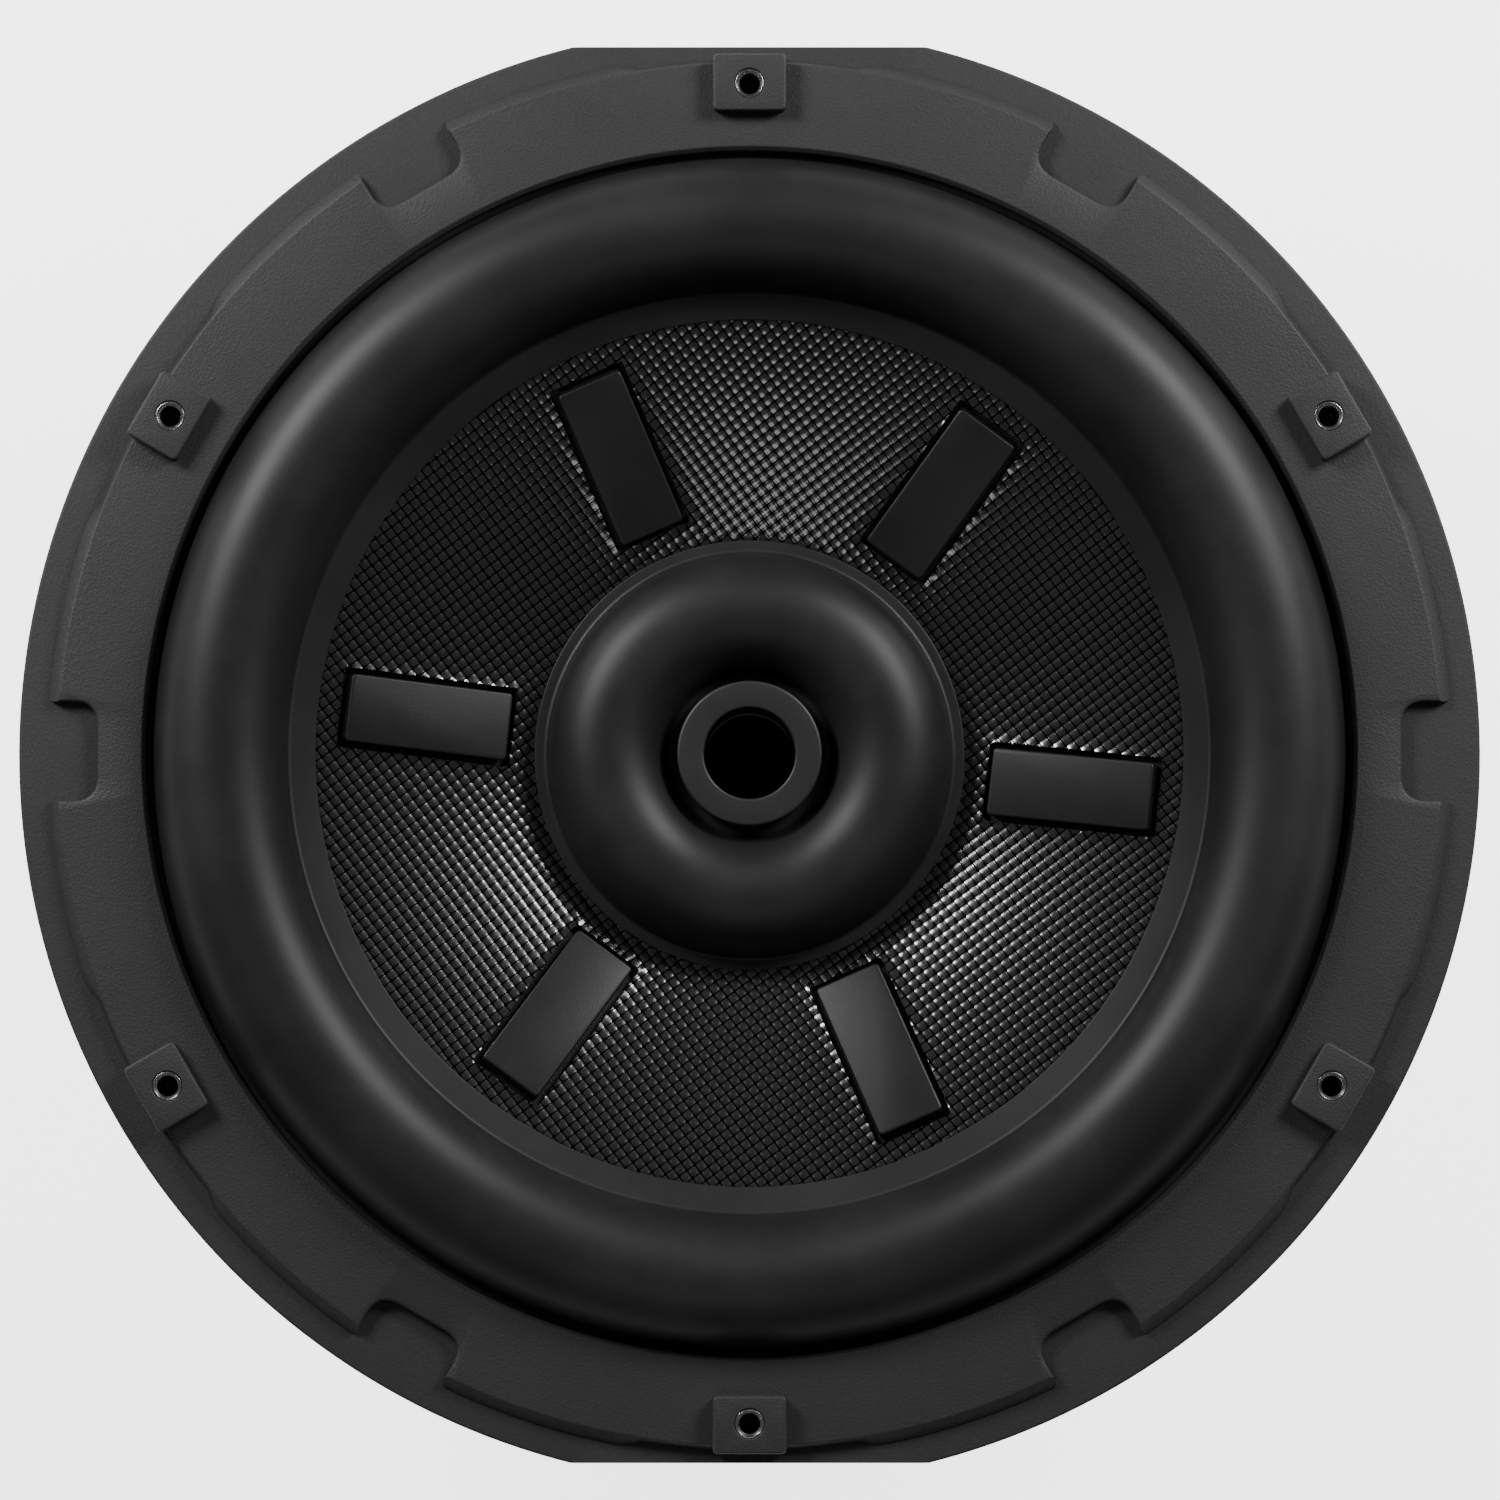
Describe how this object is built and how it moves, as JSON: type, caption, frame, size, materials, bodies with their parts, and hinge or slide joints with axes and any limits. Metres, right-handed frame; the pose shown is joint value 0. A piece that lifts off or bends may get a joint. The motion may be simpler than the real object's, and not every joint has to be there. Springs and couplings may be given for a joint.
{
  "type": "car subwoofer speaker",
  "caption": "Shallow-mount car subwoofer with a woven annular cone between an outer and an inner half roll, a vented centre post, a trim ring with screw bosses, and push terminals.",
  "frame": {"origin": "centre of the motor's rear face, which is the bottom centre of the part as it lies on its magnet", "axes": "+Z along the speaker's axis towards the listener; +Y towards one of the flange's two flats; +X along the line between the two push terminals"},
  "size_m": [0.315, 0.3054, 0.1094],
  "materials": {
    "cast_coating": "black textured coating on cast metal",
    "textured_coating": "black moulding with a fine stippled texture",
    "surround_rubber": "smooth satin moulded rubber",
    "woven_fibre": "glossy dark plain-woven fibre",
    "pad_rubber": "flat matte rubber",
    "satin_plastic": "satin black moulding",
    "bushing_metal": "bright turned metal",
    "plated_steel": "turned steel with clear zinc plating",
    "ferrite": "ground dark ceramic",
    "bare_aluminium": "turned, satin",
    "boot_rubber": "moulded matte rubber",
    "gasket_foam": "closed-cell foam",
    "screen_steel": "blackened woven wire",
    "screw_steel": "dark zinc plating",
    "spider_cloth": "resin-dipped woven cloth",
    "enamelled_copper": "enamelled winding wire",
    "tinsel_braid": "braided tinsel wire",
    "contact_brass": "stamped strip",
    "black_plastic": "moulded, fine grain",
    "button_black": "moulded, satin",
    "button_red": "moulded, satin"
  },
  "bodies": {
    "chassis": {"basket": "cast_coating", "trim_ring": "textured_coating", "mounting_gasket": "gasket_foam", "spider_ring": "black_plastic", "screw_bushing_1": "bushing_metal", "screw_bushing_2": "bushing_metal", "screw_bushing_3": "bushing_metal", "screw_bushing_4": "bushing_metal", "screw_bushing_5": "bushing_metal", "screw_bushing_6": "bushing_metal", "motor_screw_1": "screw_steel", "motor_screw_2": "screw_steel", "motor_screw_3": "screw_steel", "motor_screw_4": "screw_steel", "motor_screw_5": "screw_steel", "motor_screw_6": "screw_steel", "yoke": "plated_steel", "magnet_rear": "ferrite", "magnet_front": "ferrite", "top_plate": "plated_steel", "shorting_ring": "bare_aluminium", "magnet_boot": "boot_rubber", "centre_post": "bare_aluminium", "post_clamp_ring": "satin_plastic", "vent_screen": "screen_steel", "surround": "surround_rubber", "inner_roll": "surround_rubber", "spider": "spider_cloth", "terminal_block_a": "black_plastic", "terminal_block_b": "black_plastic", "button_spring_a1": "screw_steel", "button_spring_a2": "screw_steel", "button_spring_b1": "screw_steel", "button_spring_b2": "screw_steel", "terminal_contact_a1": "contact_brass", "terminal_contact_a2": "contact_brass", "terminal_contact_b1": "contact_brass", "terminal_contact_b2": "contact_brass", "tinsel_lead_a1": "tinsel_braid", "tinsel_lead_a2": "tinsel_braid", "tinsel_lead_b1": "tinsel_braid", "tinsel_lead_b2": "tinsel_braid"},
    "cone_assembly": {"cone": "woven_fibre", "voice_coil_former": "bare_aluminium", "voice_coil_winding": "enamelled_copper", "cone_pad_1": "pad_rubber", "cone_pad_2": "pad_rubber", "cone_pad_3": "pad_rubber", "cone_pad_4": "pad_rubber", "cone_pad_5": "pad_rubber", "cone_pad_6": "pad_rubber"},
    "button_a1": {"push_button_a1": "button_red"},
    "button_a2": {"push_button_a2": "button_black"},
    "button_b1": {"push_button_b1": "button_red"},
    "button_b2": {"push_button_b2": "button_black"}
  },
  "joints": [
    {"name": "cone_slide", "type": "slide", "parent": "chassis", "child": "cone_assembly", "axis": [0, 0, 1], "range_m": [-0.012, 0.012], "stiffness_N_per_m": 5000, "deforming": ["surround", "inner_roll", "spider", "tinsel_lead_a1", "tinsel_lead_a2", "tinsel_lead_b1", "tinsel_lead_b2"]},
    {"name": "button_a1_press", "type": "slide", "parent": "chassis", "child": "button_a1", "axis": [0, 0, 1], "range_m": [0, 0.003], "stiffness_N_per_m": 900, "springref_m": -0.0015, "deforming": ["button_spring_a1"]},
    {"name": "button_a2_press", "type": "slide", "parent": "chassis", "child": "button_a2", "axis": [0, 0, 1], "range_m": [0, 0.003], "stiffness_N_per_m": 900, "springref_m": -0.0015, "deforming": ["button_spring_a2"]},
    {"name": "button_b1_press", "type": "slide", "parent": "chassis", "child": "button_b1", "axis": [0, 0, 1], "range_m": [0, 0.003], "stiffness_N_per_m": 900, "springref_m": -0.0015, "deforming": ["button_spring_b1"]},
    {"name": "button_b2_press", "type": "slide", "parent": "chassis", "child": "button_b2", "axis": [0, 0, 1], "range_m": [0, 0.003], "stiffness_N_per_m": 900, "springref_m": -0.0015, "deforming": ["button_spring_b2"]}
  ]
}
